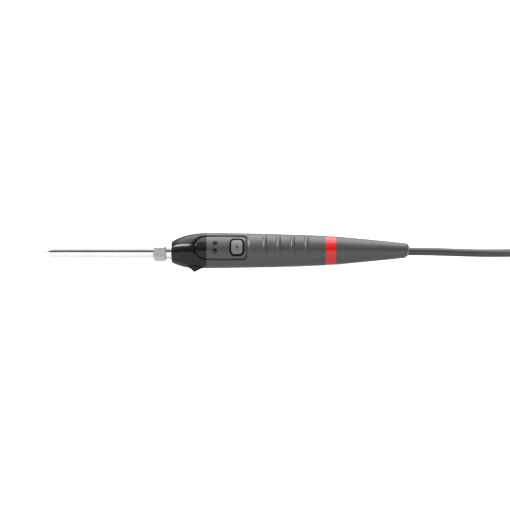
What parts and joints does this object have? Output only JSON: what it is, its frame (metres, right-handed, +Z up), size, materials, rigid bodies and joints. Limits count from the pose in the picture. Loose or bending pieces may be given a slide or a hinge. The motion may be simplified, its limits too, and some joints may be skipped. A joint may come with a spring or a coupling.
{
  "type": "soldering iron",
  "caption": "Slim mains soldering iron with a needle tip, a barrel held by a hex nut, a panel with a push button and lamps, a small bench foot and a tied mains cord with a flat plug.",
  "frame": {"origin": "middle of the bottom of the iron's box at rest on a bench, cord left out", "axes": "+Z up, +X from the tip towards the cord, -Y towards the side with the control panel; the iron's axis falls by 2.7 degrees towards the cord"},
  "size_m": [0.4956, 0.0438, 0.0239],
  "materials": {
    "grip_plastic": "fine matte moulded plastic",
    "nose_gloss": "polished black plastic",
    "ring_red": "glossy red plastic",
    "frame_black": "satin black plastic",
    "button_grey": "soft grey key plastic",
    "lens_smoke": "smoked clear plastic",
    "neck_steel": "polished turned steel",
    "ceramic": "fired alumina ceramic",
    "lead_wire": "tinned wire",
    "tip_plating": "plated tip with a tinned end",
    "barrel_steel": "drawn stainless tube",
    "nut_steel": "satin turned steel",
    "board_green": "green solder mask",
    "component_black": "moulded component body",
    "led_clear": "clear epoxy",
    "capacitor_yellow": "potted box",
    "resistor_tan": "lacquered resistor",
    "terminal_green": "moulded terminal",
    "core_insulation": "insulated core",
    "screw_zinc": "zinc plated",
    "bush_grey": "light grey flexible bush",
    "cord_rubber": "satin black cord sheath",
    "tie_fabric": "woven hook-and-loop tie",
    "plug_black": "moulded plug",
    "pin_nickel": "nickel-plated pins with black sleeves"
  },
  "bodies": {
    "handle": {"handle_front_shell": "grip_plastic", "handle_back_shell": "grip_plastic", "nose_cap": "nose_gloss", "marker_ring": "ring_red", "button_frame": "frame_black", "status_lens_upper": "lens_smoke", "status_lens_lower": "lens_smoke", "heater_socket": "neck_steel", "socket_lock_nut": "neck_steel", "heater_rod": "ceramic", "heater_plug": "ceramic", "heater_leads": "lead_wire", "circuit_board": "board_green", "tact_switch": "component_black", "indicator_leds": "led_clear", "triac": "component_black", "line_capacitor": "capacitor_yellow", "control_chip": "component_black", "resistors": "resistor_tan", "terminal_block": "terminal_green", "mains_cores": "core_insulation", "shell_screws": "screw_zinc", "clamp_screws": "screw_zinc", "cord_clamp": "frame_black", "cord_inner_end": "cord_rubber", "cord_bush": "bush_grey", "mains_cord": "cord_rubber", "cord_hank": "cord_rubber", "plug_lead": "cord_rubber", "cord_tie": "tie_fabric", "plug_body": "plug_black", "plug_relief": "plug_black", "plug_pins": "pin_nickel"},
    "button": {"power_button": "button_grey", "switch_plunger": "frame_black"},
    "tip": {"soldering_tip": "tip_plating"},
    "barrel": {"tip_barrel": "barrel_steel"},
    "nut": {"barrel_nut": "nut_steel"}
  },
  "joints": [
    {"name": "button_press", "type": "slide", "parent": "handle", "child": "button", "axis": [-0.0117, 0.9681, -0.2501], "range_m": [0, 0.0005], "stiffness_N_per_m": 1500},
    {"name": "tip_pull", "type": "slide", "parent": "handle", "child": "tip", "axis": [-0.9989, 0, 0.0467], "range_m": [0, 0.075]},
    {"name": "barrel_travel", "type": "slide", "parent": "tip", "child": "barrel", "axis": [-0.9989, 0, 0.0467], "range_m": [0, 0.005]},
    {"name": "nut_turn", "type": "hinge", "parent": "barrel", "child": "nut", "pos_m": [-0.03484, 0.00003, 0.01309], "axis": [-0.9989, 0, 0.0467], "range_deg": [0, 1800]}
  ],
  "couplings": [
    {"joint": "nut_turn", "follows": "barrel_travel", "rad_per_m": 6283.2}
  ]
}
